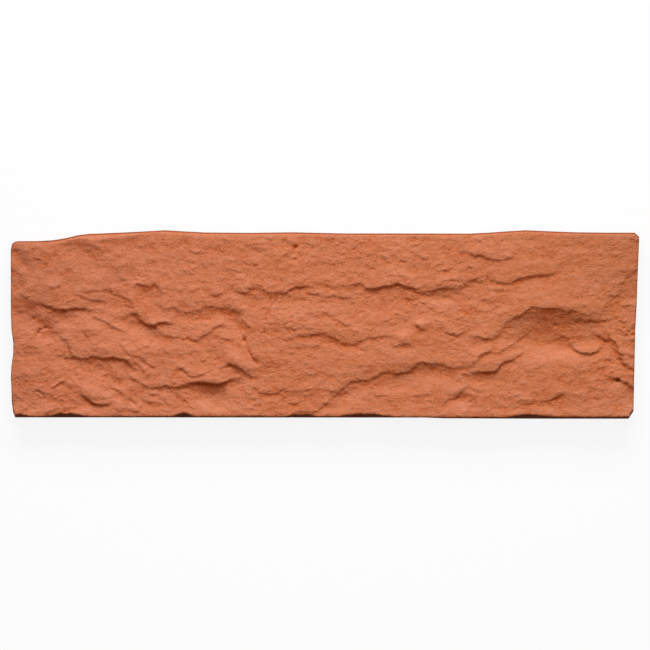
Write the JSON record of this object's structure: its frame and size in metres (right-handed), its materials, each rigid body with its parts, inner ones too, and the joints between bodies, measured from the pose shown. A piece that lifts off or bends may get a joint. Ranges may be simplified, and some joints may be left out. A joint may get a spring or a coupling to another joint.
{
  "type": "concrete cladding stone",
  "caption": "Cast concrete facing stone with a riven face of overlapping flakes, drafted sides and a flat back that is bonded to a wall.",
  "frame": {"origin": "centre of the flat back, at the middle of the stone's length and height", "axes": "+X along the stone's length, +Y up the wall when the stone is laid, +Z out of the riven face"},
  "size_m": [0.36, 0.108, 0.02],
  "materials": {
    "terracotta_concrete": "matt, fine sandy cast face, coloured right through in terracotta"
  },
  "bodies": {
    "root": {"cladding_stone": "terracotta_concrete"}
  },
  "joints": []
}
